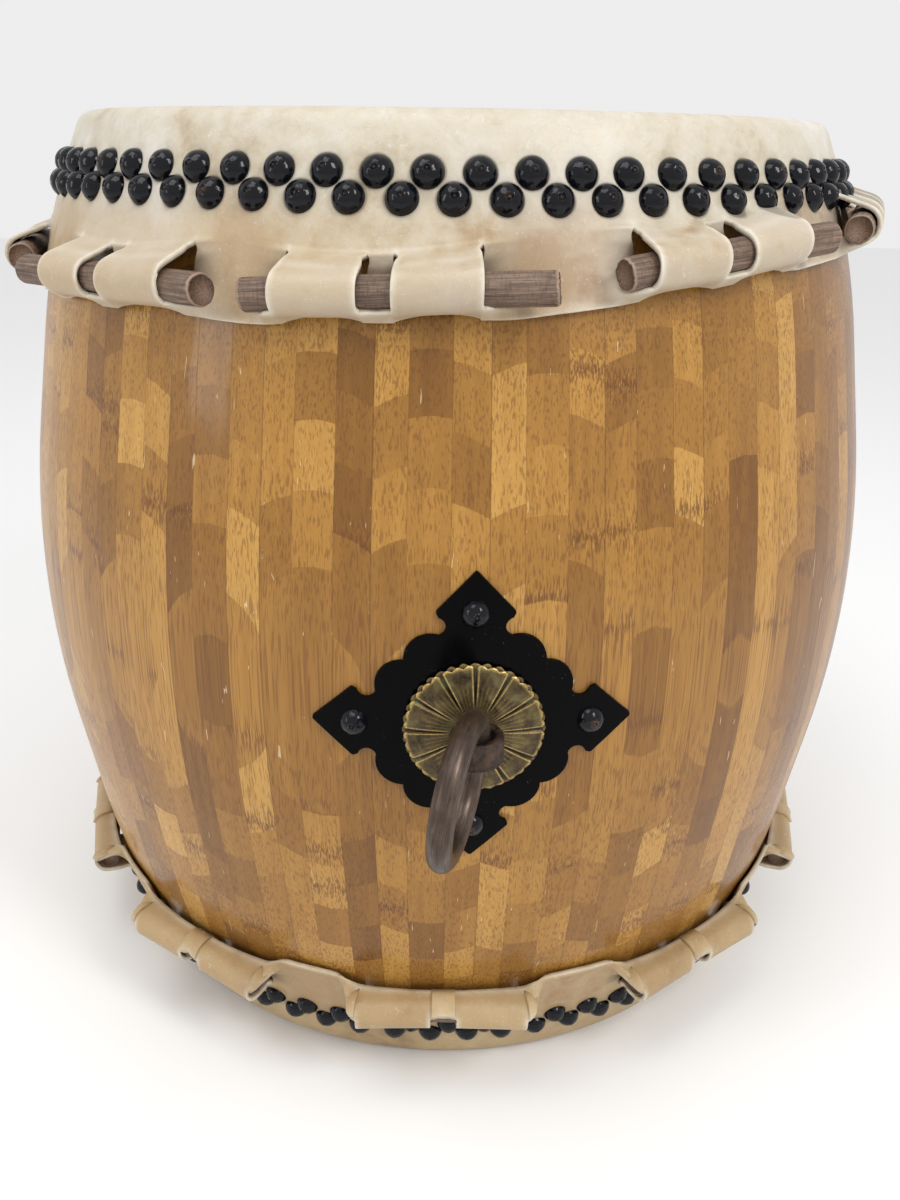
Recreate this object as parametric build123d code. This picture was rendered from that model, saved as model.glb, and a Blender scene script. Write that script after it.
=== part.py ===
"""Nagado taiko: a barrel drum of laminated bamboo staves with two tacked hides.

Millimetres, +Z up. The origin is the middle of the lower hide's flat face, where the drum rests.
Angles round the drum are counted from the front, -Y, towards +X. The front handle is at angle 0.
"""
import os
from collections import namedtuple
from math import asin, atan, cos, degrees, pi, radians, sin, sqrt, tan

from build123d import *

# Drum body: a belly arc, a straight side and a shoulder arc, alike at both ends
drum_height = 546.0
belly_radius = 275.0
belly_curve = 582.0
side_lean = 9.6
shoulder_height = 120.0
shoulder_curve = 470.0
edge_round = 8.0
stave_wall = 24.0
stave_count = 30
first_seam_angle = 1.3
fit = 0.2

# Hides and the dowels that they are laced over
hide_thickness = 3.0
lacing_tilt_heading = 10.0
dowel_clearance = 0.3
dowel_chamfer = 1.0
tab_gap = 14.0
tab_foot_reach = 26.0

# Each group of tabs in the front half: angle of its middle, then degrees round the drum of its
# left tab, right tab and the dowel's left and right overhang, then the dowel's rise in mm and its
# lean in degrees. Half a turn round the group is repeated, with the rise and lean reversed
upper_groups = [
    (-81.1, 8.8, 8.6, 3.3, 3.7, 3.1, 0.0),
    (-44.0, 8.1, 11.3, 7.3, 5.5, -0.6, -0.8),
    (-10.2, 9.0, 9.3, 3.9, 7.9, -3.9, 0.0),
    (27.4, 9.6, 8.6, 3.2, 5.7, 1.6, 2.9),
    (66.1, 8.6, 8.8, 4.2, 2.8, 4.3, 0.0),
]
lower_groups = [
    (-77.5, 9.6, 9.6, 0.3, 0.3, 0.0, 0.0),
    (-38.8, 9.9, 9.8, 0.3, 0.3, 0.0, 0.0),
    (-2.6, 9.9, 9.4, 0.3, 0.3, 0.0, 0.0),
    (34.6, 9.8, 9.9, 0.3, 0.3, 0.0, 0.0),
    (74.5, 9.6, 9.6, 0.3, 0.3, 0.0, 0.0),
]

# How a hide is laced: the radius of its dowels, how far they lie from the drum's end and tilt
# across it, the free edge past them, how high and wide the edge lifts at each tab or each group,
# and how far round the dowel a tab runs on the head's side and on the edge's side
Lacing = namedtuple(
    "Lacing",
    "groups dowel_radius depth tilt margin lift lift_width per_tab head_wrap edge_wrap",
)
upper_lacing = Lacing(upper_groups, 7.8, 70.0, 13.0, 12.5, 4.0, 36.0, True, 65.0, 80.0)
lower_lacing = Lacing(lower_groups, 7.2, 68.5, 0.0, 14.8, 3.5, 80.0, False, 80.0, 90.0)

# Tacks: size, distance along the row, how far the two rows lie from the drum's end, first angle
tack_shank_radius = 1.2
tack_shank_length = 17.0
Tacks = namedtuple("Tacks", "radius height pitch first_depth second_depth start_angle")
upper_tacks = Tacks(8.1, 6.4, 23.4, 27.7, 38.7, 0.0)
lower_tacks = Tacks(7.2, 5.8, 22.0, 31.1, 40.4, 0.8)

# Handle plate
handle_height = 265.0
plate_thickness = 2.0
plate_reach = 81.0
barb_height = 60.5
barb_half_width = 19.5
barb_depth = 2.8
neck_half_width = 14.5
neck_height = 53.2
lobe_start = 18.0
lobe_start_height = 48.6
lobe_cusp = 35.0
lobe_bulge = 5.5
plate_corner_round = 1.5

# Nails in the plate
nail_circle_radius = 59.5
nail_radius = 7.5
nail_height = 6.0
nail_shank_radius = 1.8
nail_shank_length = 18.0

# Rosette and the darker one behind it
petal_count = 12
scallops_per_petal = 3
rosette_radius = 35.0
petal_notch_depth = 2.6
scallop_depth = 1.4
rosette_crown = 4.0
rosette_sheet = 1.2
backing_extra = 0.6
backing_crown = 3.0

# Eye pin
eye_standoff = 19.0
eye_bore_radius = 8.8
eye_strap_thickness = 4.4
eye_strap_width = 15.0
eye_strap_round = 2.0
shank_width = 9.0
shank_height = 13.0
leg_length = 26.0
washer_width = 46.0
washer_height = 40.0
washer_thickness = 2.5

# Ring
ring_mean_radius = 32.0
ring_wire_radius = 6.0
ring_turn = -17.5
ring_droop = 9.9
ring_lean = 6.2

middle = drum_height / 2
belly_reach = belly_curve * sin(radians(side_lean))
shoulder_reach = middle - shoulder_height
belly_centre = belly_radius - belly_curve
side_run = (shoulder_reach - belly_reach) * tan(radians(side_lean))
shoulder_start = belly_centre + belly_curve * cos(radians(side_lean)) - side_run
shoulder_centre = shoulder_start - shoulder_curve * cos(radians(side_lean))
shoulder_level = shoulder_reach - shoulder_curve * sin(radians(side_lean))
hide_outside = fit + hide_thickness


def shell_lean(z):
    """Angle in degrees by which the shell's outward normal leans up at height z."""
    away = abs(z - middle)
    if away < belly_reach:
        lean = degrees(asin(away / belly_curve))
    elif away < shoulder_reach:
        lean = side_lean
    else:
        lean = degrees(asin((away - shoulder_level) / shoulder_curve))
    return lean if z > middle else -lean


def shell_radius(z):
    """Outer radius of the bamboo shell at height z."""
    away = abs(z - middle)
    lean = radians(abs(shell_lean(z)))
    if away < belly_reach:
        return belly_centre + belly_curve * cos(lean)
    if away < shoulder_reach:
        return shoulder_start + (shoulder_reach - away) * tan(lean)
    return shoulder_centre + shoulder_curve * cos(lean)


def arc_about(centre, level, radius, from_lean, to_lean):
    """Arc in the XZ plane about a centre, between two angles above the horizontal."""
    points = []
    for lean in (from_lean, (from_lean + to_lean) / 2, to_lean):
        turn = radians(lean)
        points.append((centre + radius * cos(turn), 0, middle + level + radius * sin(turn)))
    return ThreePointArc(*points)


def barrel_section(offset, low, high):
    """Half section of a solid barrel, with its side offset outside the shell, between two heights."""
    past_end = middle + edge_round - shoulder_level
    end_lean = degrees(asin(past_end / (shoulder_curve + offset)))
    lower = arc_about(shoulder_centre, -shoulder_level, shoulder_curve + offset, -end_lean, -side_lean)
    belly = arc_about(belly_centre, 0, belly_curve + offset, -side_lean, side_lean)
    upper = arc_about(shoulder_centre, shoulder_level, shoulder_curve + offset, side_lean, end_lean)
    top = Vector(0, 0, (upper @ 1).Z)
    base = Vector(0, 0, (lower @ 0).Z)
    lines = [Line(lower @ 1, belly @ 0), Line(belly @ 1, upper @ 0)]
    ends = [Line(upper @ 1, top), Line(top, base), Line(base, lower @ 0)]
    whole = Face(Wire([lower, lines[0], belly, lines[1], upper, *ends]))
    width = 2 * belly_radius
    window = Pos(0, 0, (low + high) / 2) * Rot(90, 0, 0) * Rectangle(2 * width, high - low)
    return (whole & window).faces()[0]


def rounded(face, height, size):
    """The section with its outer corner at one height rounded."""
    corner = [v for v in face.vertices() if abs(v.Z - height) < 0.01 and v.X > 1]
    return face.fillet_2d(size, corner)


def barrel(offset, low, high, top_round=0):
    """Solid barrel whose side lies offset outside the shell."""
    face = barrel_section(offset, low, high)
    if top_round > 0:
        face = rounded(face, high, top_round)
    return revolve(face, Axis.Z)


def turned(angle, shape):
    """The shape turned about the drum's axis, from the front to the given angle."""
    return Rot(0, 0, angle) * shape


def skin_location(z, offset):
    """Place on the front of the drum, offset outside the shell, with local -Y along its normal."""
    lean = shell_lean(z)
    y = -(shell_radius(z) + offset * cos(radians(lean)))
    return Pos(0, y, z + offset * sin(radians(lean))) * Rot(-lean, 0, 0)


def upside_down(shape):
    """The shape mirrored from the drum's upper end to its lower end."""
    return mirror(shape, about=Plane.XY.offset(middle))


# Tacks and nails

def domed_nail(head_radius, head_height, shank_radius, shank_length):
    """A domed nail with its head's flat side at the origin, pointing to +Y."""
    ball_radius = (head_radius**2 + head_height**2) / (2 * head_height)
    ball = Pos(0, ball_radius - head_height, 0) * Sphere(ball_radius)
    keep = Pos(0, -head_height, 0) * Box(4 * head_radius, 2 * head_height, 4 * head_radius)
    head = ball & keep
    shank = Pos(0, shank_length / 2, 0) * Rot(90, 0, 0) * Cylinder(shank_radius, shank_length)
    return head + shank


def tack_rows(tacks):
    """The two rows of tacks at the upper end, each as separate solids."""
    tack = domed_nail(tacks.radius, tacks.height, tack_shank_radius, tack_shank_length)
    second_height = drum_height - tacks.second_depth
    count = int(2 * pi * (shell_radius(second_height) + hide_outside) / tacks.pitch)
    step = 360 / count
    rows = []
    for depth, start in ((tacks.first_depth, 0), (tacks.second_depth, step / 2)):
        place = skin_location(drum_height - depth, hide_outside) * tack
        rows.append([turned(tacks.start_angle + start + k * step, place) for k in range(count)])
    return rows


# Hides, their tabs and the lacing dowels

def lacing_radius(lacing):
    """Radius of the shell at the mean height of the lacing line."""
    return shell_radius(drum_height - lacing.depth)


def lacing_drop(lacing, angle):
    """Height of the lacing line at an angle, against its mean."""
    return lacing.tilt * sin(radians(angle - lacing_tilt_heading))


def lacing_lean(lacing, angle):
    """Angle in degrees by which the lacing line climbs to the right at an angle."""
    climb = lacing.tilt * cos(radians(angle - lacing_tilt_heading))
    return degrees(atan(climb / lacing_radius(lacing)))


def dowel_location(lacing, angle, rise, lean):
    """Middle of a group's dowel, brought to the front of the drum, local +X along the dowel."""
    height = drum_height - lacing.depth + lacing_drop(lacing, angle) + rise
    seat = hide_outside + dowel_clearance + lacing.dowel_radius
    return skin_location(height, seat) * Rot(0, -lacing_lean(lacing, angle) - lean, 0)


def dowel(radius, left_end, right_end):
    """A round stick along local X between two places."""
    stick = Rot(0, 90, 0) * Cylinder(radius, right_end - left_end)
    stick = chamfer(stick.edges().filter_by(GeomType.CIRCLE), dowel_chamfer)
    return Pos((left_end + right_end) / 2, 0, 0) * stick


def wrap_section(lacing, radius):
    """Area under a hide surface that runs over the dowel at this radius from its axis."""
    ends = []
    for angle, side in ((lacing.head_wrap, 1), (lacing.edge_wrap, -1)):
        turn = radians(angle)
        run = (tab_foot_reach + radius * cos(turn)) / sin(turn)
        touch = (-radius * cos(turn), side * radius * sin(turn))
        foot = (tab_foot_reach, side * (radius * sin(turn) + run * cos(turn)))
        ends.append((foot, touch))
    (upper_foot, upper_touch), (lower_foot, lower_touch) = ends
    edges = [
        Line((0, *upper_foot), (0, *upper_touch)),
        ThreePointArc((0, *upper_touch), (0, -radius, 0), (0, *lower_touch)),
        Line((0, *lower_touch), (0, *lower_foot)),
        Line((0, *lower_foot), (0, *upper_foot)),
    ]
    return Face(Wire(edges))


def wrap_block(lacing, radius, left_end, right_end):
    """The area under a wrapped hide surface, as a block between two places along the dowel."""
    block = extrude(wrap_section(lacing, radius), right_end - left_end, dir=(1, 0, 0))
    return Pos(left_end, 0, 0) * block


def lacing_groups(lacing):
    """Every group: its angle, its dowel's place, where its two tabs and its dowel begin and end."""
    half = tab_gap / 2
    found = []
    for angle, left_tab, right_tab, left_over, right_over, rise, lean in lacing.groups:
        left, right, left_end, right_end = [
            half + radians(turn) * lacing_radius(lacing)
            for turn in (left_tab, right_tab, left_tab + left_over, right_tab + right_over)
        ]
        for turn, side in ((angle, 1), (angle + 180, -1)):
            place = dowel_location(lacing, turn, side * rise, side * lean)
            found.append((turn, place, [(-left, -half), (half, right)], (-left_end, right_end)))
    return found


def hide(lacing):
    """The upper hide: a flat head turned down over the shell, with tabs over each dowel."""
    inside = lacing.dowel_radius + dowel_clearance
    edge = drum_height - lacing.depth - lacing.margin
    bottom = edge - 2 * lacing.tilt - lacing.margin
    skin = barrel(hide_outside, bottom, drum_height, edge_round + hide_thickness)
    skin = skin - barrel(fit, bottom - 1, drum_height - hide_thickness, edge_round)
    width = 4 * belly_radius
    below = Pos(0, 0, -width / 2) * Box(width, width, width)
    tip = -degrees(atan(lacing.tilt / lacing_radius(lacing)))
    tipped = Rot(0, 0, lacing_tilt_heading) * Rot(0, tip, 0)
    scallop_radius = lacing.lift_width**2 / (8 * lacing.lift) + lacing.lift / 2
    scallop = Rot(90, 0, 0) * Cylinder(scallop_radius, 4 * lacing.margin)
    scallop_level = lacing.lift - scallop_radius - lacing.margin
    cuts = [Pos(0, 0, edge) * tipped * below]
    arches = []
    for angle, place, tabs, _ in lacing_groups(lacing):
        for start, end in tabs:
            cuts.append(turned(angle, place * wrap_block(lacing, inside, start, end)))
            outer = wrap_block(lacing, inside + hide_thickness, start, end)
            inner = wrap_block(lacing, inside, start - 1, end + 1)
            arches.append(turned(angle, place * (outer - inner)))
        lifts = tabs if lacing.per_tab else [(tabs[0][0], tabs[1][1])]
        for start, end in lifts:
            low = Pos((start + end) / 2, 0, scallop_level)
            cuts.append(turned(angle, place * low * scallop))
    skin = skin - cuts
    seat = barrel(fit + hide_thickness / 2, bottom, drum_height - hide_thickness, edge_round)
    return skin + [arch - seat for arch in arches]


def hide_dowels(lacing):
    """The dowels of one hide, as separate solids."""
    groups = lacing_groups(lacing)
    radius = lacing.dowel_radius
    return [turned(angle, place * dowel(radius, *ends)) for angle, place, _, ends in groups]


# Handle set, made at the front of the drum

bore_axis = shell_radius(handle_height) + fit + plate_thickness + eye_standoff
plate_face = shell_radius(handle_height) + fit + plate_thickness


def plate_outline():
    """The plate's outline, seen from the front: four arrowheads with two lobes between them."""
    cusp_push = lobe_bulge / sqrt(2)
    lobe_middle_x = (lobe_start + lobe_cusp) / 2 + cusp_push
    lobe_middle_y = (lobe_start_height + lobe_cusp) / 2 + cusp_push
    barb_back = (barb_half_width - barb_depth / 2, barb_height - barb_depth)
    tip = (0, plate_reach)
    barb = (barb_half_width, barb_height)
    neck = (neck_half_width, neck_height)
    lobe = (lobe_start, lobe_start_height)
    lobe_middle = (lobe_middle_x, lobe_middle_y)
    cusp = (lobe_cusp, lobe_cusp)
    strokes = [(tip, barb), (barb, barb_back), (barb_back, neck, lobe), (lobe, lobe_middle, cusp)]
    mirrored = [tuple((y, x) for x, y in reversed(stroke)) for stroke in reversed(strokes)]
    edges = []
    for quarter in range(4):
        for stroke in strokes + mirrored:
            points = [Vector(x, y).rotate(Axis.Z, -90 * quarter) for x, y in stroke]
            edges.append(Line(*points) if len(points) == 2 else ThreePointArc(*points))
    face = Face(Wire(edges))
    reach = lambda v: sqrt(v.X**2 + v.Y**2)
    corners = [v for v in face.vertices() if reach(v) > reach(Vertex(*barb)) - 0.5]
    return face.fillet_2d(plate_corner_round, corners)


def facing_front(face):
    """A flat outline turned to stand at the handle's height and face the front."""
    return Pos(0, 0, handle_height) * Rot(90, 0, 0) * face


def shank_hole(length):
    """Straight hole through the drum's side for the eye pin's shank."""
    hole = Box(shank_width + 2 * fit, length, shank_height + 2 * fit)
    return Pos(0, -plate_face, handle_height) * hole


def nail_places():
    """Turns round the drum and places on its front for the plate's four nails."""
    outside = fit + plate_thickness
    side_turn = degrees(asin(nail_circle_radius / plate_face))
    above = skin_location(handle_height + nail_circle_radius, outside)
    below = skin_location(handle_height - nail_circle_radius, outside)
    level = skin_location(handle_height, outside)
    return [(0, above), (0, below), (side_turn, level), (-side_turn, level)]


def nail_holes():
    """Holes punched in the plate for its four nails."""
    punch = Rot(90, 0, 0) * Cylinder(nail_shank_radius + fit, 4 * plate_thickness)
    return [turned(angle, place * punch) for angle, place in nail_places()]


def handle_plate():
    """Sheet plate bent to the barrel, with its holes."""
    low = handle_height - plate_reach - 5
    high = handle_height + plate_reach + 5
    sheet = barrel(fit + plate_thickness, low, high) - barrel(fit, low - 1, high + 1)
    blank = extrude(facing_front(plate_outline()), 2 * belly_radius, dir=(0, -1, 0))
    plate = sheet & blank
    return plate - nail_holes() - shank_hole(stave_wall)


def plate_nails():
    """The plate's four domed nails, as separate solids."""
    nail = domed_nail(nail_radius, nail_height, nail_shank_radius, nail_shank_length)
    return [turned(angle, place * nail) for angle, place in nail_places()]


def petal_outline(radius, phase):
    """Outline of a rosette whose petals each end in small scallops."""
    count = petal_count * scallops_per_petal
    step = 2 * pi / count

    def at(turn, reach):
        return (reach * sin(turn), reach * cos(turn))

    edges = []
    for k in range(count):
        ends = []
        for corner in (k, k + 1):
            between_petals = corner % scallops_per_petal == 0
            depth = petal_notch_depth if between_petals else scallop_depth
            ends.append(at(phase + corner * step, radius - depth))
        crest = at(phase + (k + 0.5) * step, radius)
        edges.append(ThreePointArc(ends[0], crest, ends[1]))
    return Face(Wire(edges))


def rosette_sheet_metal(radius, phase, crown, seat):
    """A petalled sheet, bowed outwards by its crown, with its rim at the seat."""
    ball_radius = (rosette_radius**2 + crown**2) / (2 * crown)
    centre = Pos(0, -(seat + crown - ball_radius), handle_height)
    shell = centre * (Sphere(ball_radius + rosette_sheet) - Sphere(ball_radius))
    outline = Pos(0, -(seat - rosette_radius), 0) * facing_front(petal_outline(radius, phase))
    blank = extrude(outline, 2 * rosette_radius, dir=(0, -1, 0))
    return shell & blank - shank_hole(4 * rosette_radius)


def eye_pin():
    """Iron eye with an upright bore; its legs pass the shell and bend apart inside."""
    strap = Pos(eye_bore_radius + eye_strap_thickness / 2, 0, 0) * Rot(90, 0, 0)
    strap = strap * RectangleRounded(eye_strap_thickness, eye_strap_width, eye_strap_round)
    eye = Pos(0, -bore_axis, handle_height) * revolve(strap, Axis.Z)
    shank_start = bore_axis - eye_bore_radius - eye_strap_thickness / 2
    leg_thickness = shank_width / 2
    leg_outer = washer_seat() - washer_thickness - fit
    leg_inner = leg_outer - leg_thickness
    shank_length = shank_start - leg_inner
    shank = Box(shank_width, shank_length, shank_height)
    legs = Box(2 * leg_length, leg_thickness, shank_height)
    pin = eye + Pos(0, -(shank_start + leg_inner) / 2, handle_height) * shank
    return pin + Pos(0, -(leg_outer + leg_inner) / 2, handle_height) * legs


def washer_seat():
    """Distance from the drum's axis to the outer face of the washer inside the shell."""
    corner_heights = (handle_height - washer_height / 2, handle_height + washer_height / 2)
    inner_radius = min(shell_radius(z) for z in corner_heights) - stave_wall
    return sqrt(inner_radius**2 - (washer_width / 2) ** 2) - fit


def pin_washer():
    """Flat iron washer inside the shell, under the pin's bent legs."""
    blank = Box(washer_width, washer_thickness, washer_height)
    placed = Pos(0, -(washer_seat() - washer_thickness / 2), handle_height) * blank
    return placed - shank_hole(4 * stave_wall)


def ring():
    """Plain round ring through the eye, hanging a little down and to one side."""
    hang = Pos(0, -bore_axis, handle_height) * Rot(0, 0, ring_turn)
    tilt = Rot(0, ring_lean, 0) * Rot(ring_droop, 0, 0)
    body = Rot(0, 90, 0) * Torus(ring_mean_radius, ring_wire_radius)
    return hang * tilt * Pos(0, -ring_mean_radius, 0) * body


# Staves

def stave_wedge():
    """A plain stave: a wedge of the barrel shell, from its seam at the front to the next one."""
    high = drum_height - hide_thickness
    outer = rounded(barrel_section(0, hide_thickness, high), high, edge_round)
    outer = rounded(outer, hide_thickness, edge_round)
    inner = barrel_section(-stave_wall, hide_thickness - 1, high + 1)
    wedge = revolve((outer - inner).faces()[0], Axis.Z, 360 / stave_count)
    return Rot(0, 0, -90) * wedge


def staves():
    """All the staves in order, with the two pin holes cut where they fall."""
    wedge = stave_wedge()
    hole = shank_hole(4 * stave_wall)
    boards = []
    for k in range(stave_count):
        board = turned(first_seam_angle + 360 * k / stave_count, wedge)
        boards.append(board - [hole, turned(180, hole)])
    return boards


def save(name, shapes):
    """Write one node, a single solid or a group of separate solids."""
    solids = []
    for shape in shapes if isinstance(shapes, list) else [shapes]:
        solids.extend(shape.solids())
    body = solids[0] if len(solids) == 1 else Compound(children=solids)
    export_step(body, f"parts/{name}.step")


def main():
    os.makedirs("parts", exist_ok=True)
    for index, board in enumerate(staves(), 1):
        save(f"stave_{index:02d}", board)

    save("head_top", hide(upper_lacing))
    save("head_bottom", upside_down(hide(lower_lacing)))
    save("dowels_top", hide_dowels(upper_lacing))
    save("dowels_bottom", [upside_down(stick) for stick in hide_dowels(lower_lacing)])
    for row, tacks in zip(("outer", "inner"), tack_rows(upper_tacks)):
        save(f"tacks_top_{row}", tacks)
    for row, tacks in zip(("outer", "inner"), tack_rows(lower_tacks)):
        save(f"tacks_bottom_{row}", [upside_down(tack) for tack in tacks])

    rim_heights = (handle_height - rosette_radius, handle_height + rosette_radius)
    backing_seat = max(shell_radius(z) for z in rim_heights) + plate_thickness + 2 * fit
    crown_step = rosette_sheet + fit
    petal_half = pi / petal_count
    pieces = {
        "handle_plate": handle_plate(),
        "plate_nails": plate_nails(),
        "rosette_backing": rosette_sheet_metal(
            rosette_radius + backing_extra, petal_half, backing_crown, backing_seat
        ),
        "rosette": rosette_sheet_metal(rosette_radius, 0, rosette_crown, backing_seat + crown_step),
        "eye_pin": eye_pin(),
        "pin_washer": pin_washer(),
        "ring": ring(),
    }
    for name, piece in pieces.items():
        parts = piece if isinstance(piece, list) else [piece]
        save(f"{name}_front", parts)
        save(f"{name}_back", [turned(180, part) for part in parts])


main()
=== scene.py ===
"""Looks of a nagado taiko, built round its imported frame.

Shapes are worked out in millimetres and made in metres, +Z up. Angles round the drum are counted
in degrees from the front, -Y, towards +X. Both ends are shaped as the upper one, and the lower
one is mirrored.
"""
from collections import namedtuple

import bpy
import numpy as np
from mathutils import Matrix, Vector


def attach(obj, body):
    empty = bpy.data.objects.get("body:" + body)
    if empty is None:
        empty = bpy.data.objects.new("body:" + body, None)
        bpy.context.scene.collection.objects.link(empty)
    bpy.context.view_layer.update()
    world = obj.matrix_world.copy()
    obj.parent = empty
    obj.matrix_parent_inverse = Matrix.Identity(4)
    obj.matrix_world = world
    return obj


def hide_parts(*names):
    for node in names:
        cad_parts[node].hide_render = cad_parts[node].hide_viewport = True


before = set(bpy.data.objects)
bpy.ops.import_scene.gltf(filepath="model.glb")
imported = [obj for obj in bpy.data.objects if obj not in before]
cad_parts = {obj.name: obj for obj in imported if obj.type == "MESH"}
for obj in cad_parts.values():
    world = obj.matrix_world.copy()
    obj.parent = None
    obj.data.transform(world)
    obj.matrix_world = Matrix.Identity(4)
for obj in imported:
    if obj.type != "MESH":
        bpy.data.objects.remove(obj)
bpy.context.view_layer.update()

chance = np.random.default_rng(7)
METRES = 0.001

# Drum body, as in the frame
DRUM_HEIGHT = 546.0
BELLY_RADIUS = 275.0
BELLY_CURVE = 582.0
SIDE_LEAN = np.radians(9.6)
SHOULDER_HEIGHT = 120.0
SHOULDER_CURVE = 470.0
STAVE_COUNT = 30
FIRST_SEAM = 1.3
HIDE_OUTSIDE = 3.2
RIM_ROUND = 11.0
MIDDLE = DRUM_HEIGHT / 2
SHOULDER_REACH = MIDDLE - SHOULDER_HEIGHT
BELLY_REACH = BELLY_CURVE * np.sin(SIDE_LEAN)
BELLY_CENTRE = BELLY_RADIUS - BELLY_CURVE
SHOULDER_START = (
    BELLY_CENTRE
    + BELLY_CURVE * np.cos(SIDE_LEAN)
    - (SHOULDER_REACH - BELLY_REACH) * np.tan(SIDE_LEAN)
)
SHOULDER_CENTRE = SHOULDER_START - SHOULDER_CURVE * np.cos(SIDE_LEAN)
SHOULDER_LEVEL = SHOULDER_REACH - SHOULDER_CURVE * np.sin(SIDE_LEAN)

# Lacing, as in the frame: for each group its angle, degrees of left tab, right tab, left and
# right overhang of the dowel, and its rise in mm and lean in degrees
UPPER_GROUPS = [
    (-81.1, 8.8, 8.6, 3.3, 3.7, 3.1, 0.0),
    (-44.0, 8.1, 11.3, 7.3, 5.5, -0.6, -0.8),
    (-10.2, 9.0, 9.3, 3.9, 7.9, -3.9, 0.0),
    (27.4, 9.6, 8.6, 3.2, 5.7, 1.6, 2.9),
    (66.1, 8.6, 8.8, 4.2, 2.8, 4.3, 0.0),
]
LOWER_GROUPS = [
    (-77.5, 9.6, 9.6, 0.3, 0.3, 0.0, 0.0),
    (-38.8, 9.9, 9.8, 0.3, 0.3, 0.0, 0.0),
    (-2.6, 9.9, 9.4, 0.3, 0.3, 0.0, 0.0),
    (34.6, 9.8, 9.9, 0.3, 0.3, 0.0, 0.0),
    (74.5, 9.6, 9.6, 0.3, 0.3, 0.0, 0.0),
]
TILT_HEADING = 10.0
TAB_GAP = 14.0

# An end of the drum. Lacing: the dowels' radius, depth and tilt of their line, how far past it the
# hide ends in the bays and at a tab's middle and sides, how far it stands off the shell there,
# where a tab leaves the roll towards the head and the edge, and where the lip turns on the roll
End = namedtuple(
    "End",
    "groups dowel_radius depth tilt margin middle_margin side_margin middle_stand side_stand "
    "per_tab head_turn middle_exit side_exit crest_turn tack_radius tack_height tack_count "
    "tack_depths tack_start",
)
UPPER = End(
    UPPER_GROUPS, 7.8, 70.0, 13.0, 13.4, 9.8, 12.8, 3.2, 2.0,
    True, 56.0, 98.0, 78.0, 66.0, 8.1, 6.4, 64, (27.7, 38.7), 0.0,
)
LOWER = End(
    LOWER_GROUPS, 7.2, 68.5, 0.0, 14.8, 8.2, 8.6, 0.2, 0.2,
    False, 70.0, 82.0, 82.0, 26.0, 7.2, 5.8, 68, (31.1, 40.4), 0.8,
)
TAB_ROWS = (6, 28, 10)
HIDE_SHEET = 2.6
HIDE_OVER = 3.0
SLIT_RISE = 1.6
LIP_FADE = 11.0

# Handles
HANDLE_HEIGHT = 265.0
PLATE_TOP = 2.2
NAIL_CIRCLE = 59.5
NAIL_RADIUS = 7.5
NAIL_HEIGHT = 6.0
PETALS = 12
SCALLOPS = 3
ROSETTE_RADIUS = 35.0
EYE_STANDOFF = 19.0
RING_RADIUS = 32.0
RING_WIRE = 6.0
RING_TURN = -17.5
RING_DROOP = 9.9
RING_LEAN = 6.2

# Camera
CAMERA_PLACE = (-0.039245, -0.748848, 0.530056)
CAMERA_YAW = np.radians(3.205)
CAMERA_PITCH = np.radians(22.631)
CAMERA_ROLL = np.radians(0.929)
CAMERA_FOCAL = 1088.64 / 1200
SENSOR = 24.0


# Shape of the shell

def shell_lean(z):
    """Angle in radians by which the shell's normal leans up at height z."""
    away = np.abs(np.asarray(z, float) - MIDDLE)
    belly = np.arcsin(np.clip(away / BELLY_CURVE, 0, 1))
    shoulder = np.arcsin(np.clip((away - SHOULDER_LEVEL) / SHOULDER_CURVE, -1, 1))
    lean = np.where(away < BELLY_REACH, belly, np.where(away < SHOULDER_REACH, SIDE_LEAN, shoulder))
    return np.where(np.asarray(z) > MIDDLE, lean, -lean)


def shell_radius(z):
    """Outer radius of the bamboo shell at height z."""
    away = np.abs(np.asarray(z, float) - MIDDLE)
    lean = np.abs(shell_lean(z))
    side = SHOULDER_START + (SHOULDER_REACH - away) * np.tan(lean)
    shoulder = SHOULDER_CENTRE + SHOULDER_CURVE * np.cos(lean)
    belly = BELLY_CENTRE + BELLY_CURVE * np.cos(lean)
    return np.where(away < BELLY_REACH, belly, np.where(away < SHOULDER_REACH, side, shoulder))


def skin(z, offset):
    """Radius and height of the point that lies offset outside the shell at height z."""
    lean = shell_lean(z)
    return shell_radius(z) + offset * np.cos(lean), z + offset * np.sin(lean)


def around(radius, angle, z):
    """Points at a radius, an angle in degrees and a height."""
    turn = np.radians(angle)
    return np.stack(np.broadcast_arrays(radius * np.sin(turn), -radius * np.cos(turn), z), -1)


def upside_down(points):
    """Points mirrored from the upper end to the lower end."""
    return points * (1, 1, -1) + (0, 0, DRUM_HEIGHT)


def ease(value, start, end):
    """0 before start, 1 after end, and smooth between them."""
    share = np.clip((value - start) / (end - start), 0, 1)
    return share * share * (3 - 2 * share)


def ripple(u, v, seed, count=7):
    """Smooth noise about 0, made of a few waves of u and v."""
    source = np.random.default_rng(seed)
    total = 0
    for _ in range(count):
        pull_u, pull_v = source.normal(size=2)
        total = total + np.sin(pull_u * u + pull_v * v + source.uniform(0, 2 * np.pi))
    return total / count


# Materials

def colour(red, green, blue):
    """A linear colour from 8-bit screen values."""
    value = np.array((red, green, blue)) / 255
    linear = np.where(value < 0.04045, value / 12.92, ((value + 0.055) / 1.055) ** 2.4)
    return (*map(float, linear), 1.0)


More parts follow.
